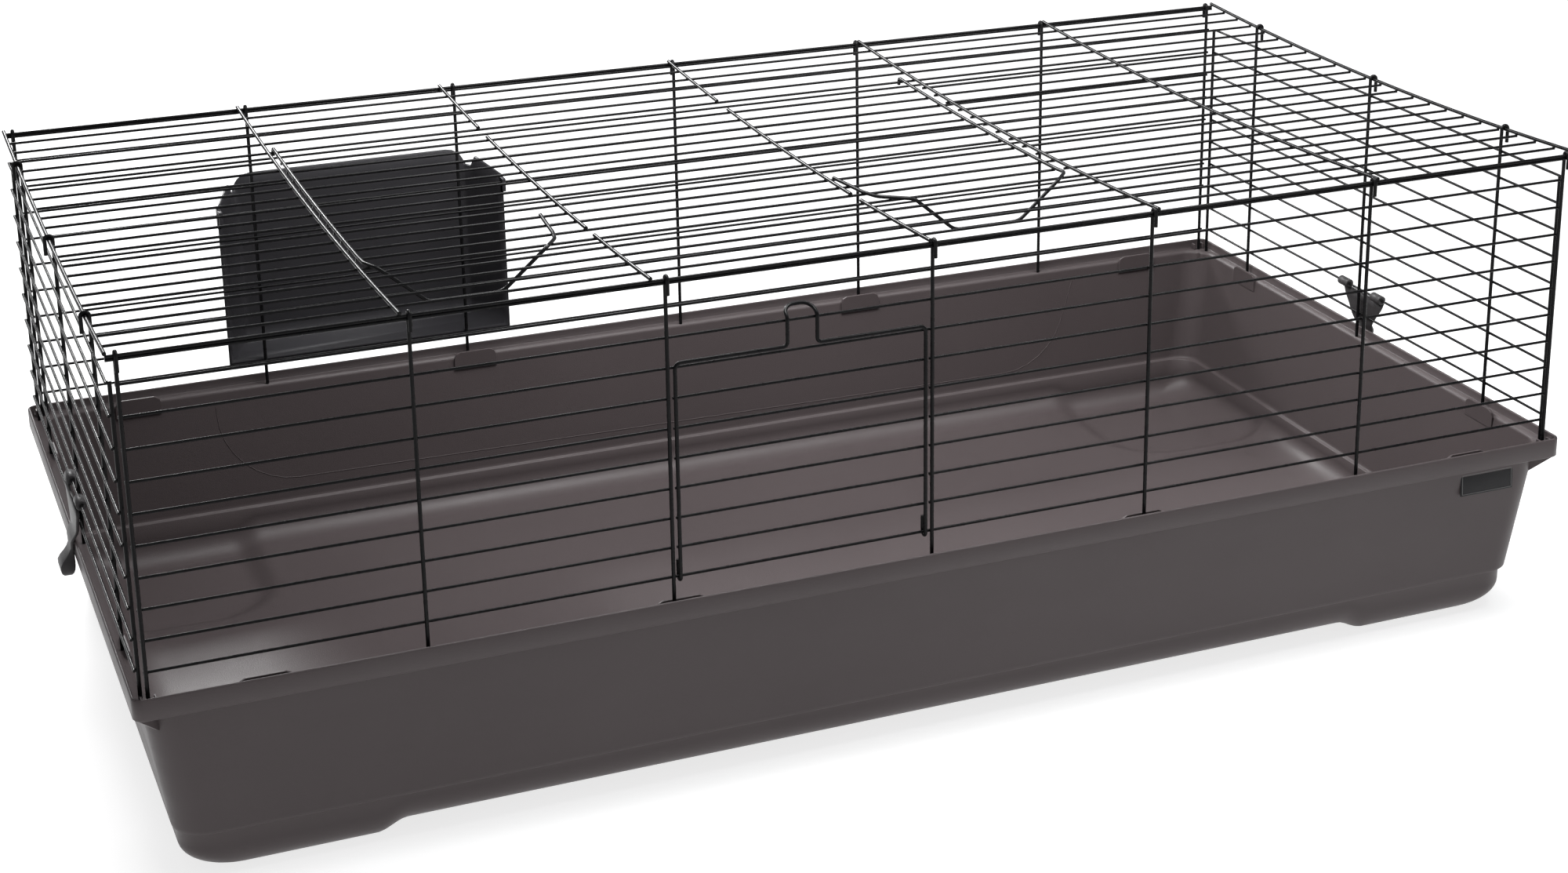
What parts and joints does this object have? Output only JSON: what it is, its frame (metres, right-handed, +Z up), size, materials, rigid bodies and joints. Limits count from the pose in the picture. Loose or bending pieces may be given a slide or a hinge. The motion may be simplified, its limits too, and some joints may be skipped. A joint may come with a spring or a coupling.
{
  "type": "small animal cage",
  "caption": "Wire cage on a drafted plastic tray, with a drop-down front door, a lift-up roof hatch, side clips and a hay rack hung outside the back.",
  "frame": {"origin": "on the floor under the middle of the whole object's box", "axes": "+Z up, +X along the length, the front with the door faces -Y"},
  "size_m": [1.2064, 0.6446, 0.4114],
  "materials": {
    "black_wire": "gloss black coating on steel wire",
    "tray_plastic": "satin grey-brown moulding",
    "clip_plastic": "satin grey moulding",
    "rack_plastic": "satin near-black moulding",
    "label": "blank dark plate"
  },
  "bodies": {
    "tray_base": {"tray": "tray_plastic", "label_plate": "label"},
    "wire_top": {"front_uprights_left": "black_wire", "front_uprights_right": "black_wire", "front_rungs_left": "black_wire", "front_rungs_right": "black_wire", "front_top_rungs": "black_wire", "front_hinge_rung": "black_wire", "back_uprights": "black_wire", "back_rungs": "black_wire", "left_uprights": "black_wire", "left_rungs": "black_wire", "right_uprights": "black_wire", "right_rungs": "black_wire", "roof_ribs_left": "black_wire", "roof_ribs_right": "black_wire", "roof_stub_ribs_front": "black_wire", "roof_stub_ribs_back": "black_wire", "roof_rungs_front": "black_wire", "roof_rungs_back": "black_wire", "roof_rungs_left": "black_wire", "roof_rungs_right": "black_wire", "roof_edge_wires": "black_wire"},
    "front_door": {"door_frame": "black_wire", "door_rungs": "black_wire"},
    "roof_hatch": {"hatch_side_left": "black_wire", "hatch_side_right": "black_wire", "hatch_ribs": "black_wire", "hatch_rungs": "black_wire"},
    "clip_left": {"clip_left": "clip_plastic"},
    "clip_right": {"clip_right": "clip_plastic"},
    "hay_rack": {"hay_rack": "rack_plastic"}
  },
  "joints": [
    {"name": "wire_top_lift", "type": "slide", "parent": "tray_base", "child": "wire_top", "axis": [0, 0, 1], "range_m": [0, 0.3]},
    {"name": "front_door_hinge", "type": "hinge", "parent": "wire_top", "child": "front_door", "pos_m": [-0.09275, -0.3099, 0.1745], "axis": [1, 0, 0], "range_deg": [0, 125]},
    {"name": "roof_hatch_hinge", "type": "hinge", "parent": "wire_top", "child": "roof_hatch", "pos_m": [-0.098, -0.18735, 0.40142], "axis": [1, 0, 0], "range_deg": [0, 90]},
    {"name": "clip_left_hinge", "type": "hinge", "parent": "wire_top", "child": "clip_left", "pos_m": [-0.5845, -0.02135, 0.1979], "axis": [0, 1, 0], "range_deg": [0, 100]},
    {"name": "clip_right_hinge", "type": "hinge", "parent": "wire_top", "child": "clip_right", "pos_m": [0.5845, -0.02135, 0.1979], "axis": [0, -1, 0], "range_deg": [0, 100]},
    {"name": "hay_rack_lift", "type": "slide", "parent": "wire_top", "child": "hay_rack", "axis": [0, 0, 1], "range_m": [0, 0.017]}
  ]
}
